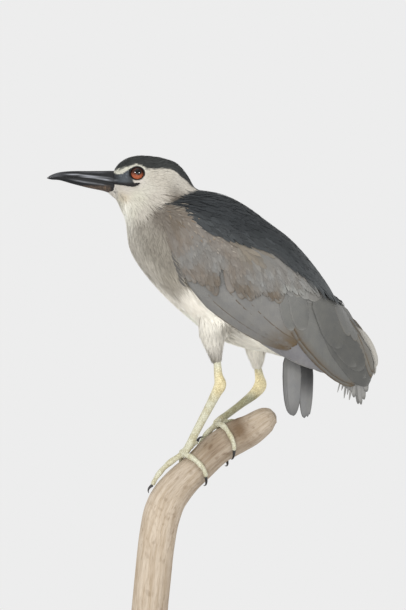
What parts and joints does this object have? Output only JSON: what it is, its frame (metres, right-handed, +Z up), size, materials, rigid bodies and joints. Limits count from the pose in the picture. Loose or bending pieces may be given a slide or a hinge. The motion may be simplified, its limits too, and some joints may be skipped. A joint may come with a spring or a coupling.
{
  "type": "black-crowned night heron mount",
  "caption": "Life-size black-crowned night heron, standing alert with wings folded on a bent length of driftwood, held by a rod on a plain wooden base.",
  "frame": {"origin": "middle of the underside of the stand's base", "axes": "+Z up; the bird faces -Y, and its left side is towards +X"},
  "size_m": [0.19, 0.3731, 0.5941],
  "materials": {
    "bill": "satin horn, blackish slate with paler streaks",
    "head_feather": "short soft feathers, black cap over cream face",
    "pale_feather": "soft cream feathers",
    "mantle_feather": "blackish green-grey feathers with a slight sheen",
    "wing_feather": "matt grey feathers",
    "eye": "polished, orange-red iris round a black pupil",
    "leg_skin": "pale yellow scaled skin",
    "claw": "dark polished horn",
    "driftwood": "bare weathered wood",
    "stand_wood": "dark stained, satin",
    "stand_steel": "brushed"
  },
  "bodies": {
    "root": {"bill_lower": "bill", "bill_upper": "bill", "claw_left_hind": "claw", "claw_left_inner": "claw", "claw_left_middle": "claw", "claw_left_outer": "claw", "claw_right_hind": "claw", "claw_right_inner": "claw", "claw_right_middle": "claw", "claw_right_outer": "claw", "eye_left": "eye", "eye_right": "eye", "foot_left": "leg_skin", "foot_right": "leg_skin", "head": "head_feather", "neck": "pale_feather", "perch": "driftwood", "shank_left": "leg_skin", "shank_right": "leg_skin", "stand_base": "stand_wood", "stand_rod": "stand_steel", "tail": "wing_feather", "thigh_left": "pale_feather", "thigh_right": "pale_feather", "trunk": "mantle_feather", "wing_left": "wing_feather", "wing_right": "wing_feather"}
  },
  "joints": []
}
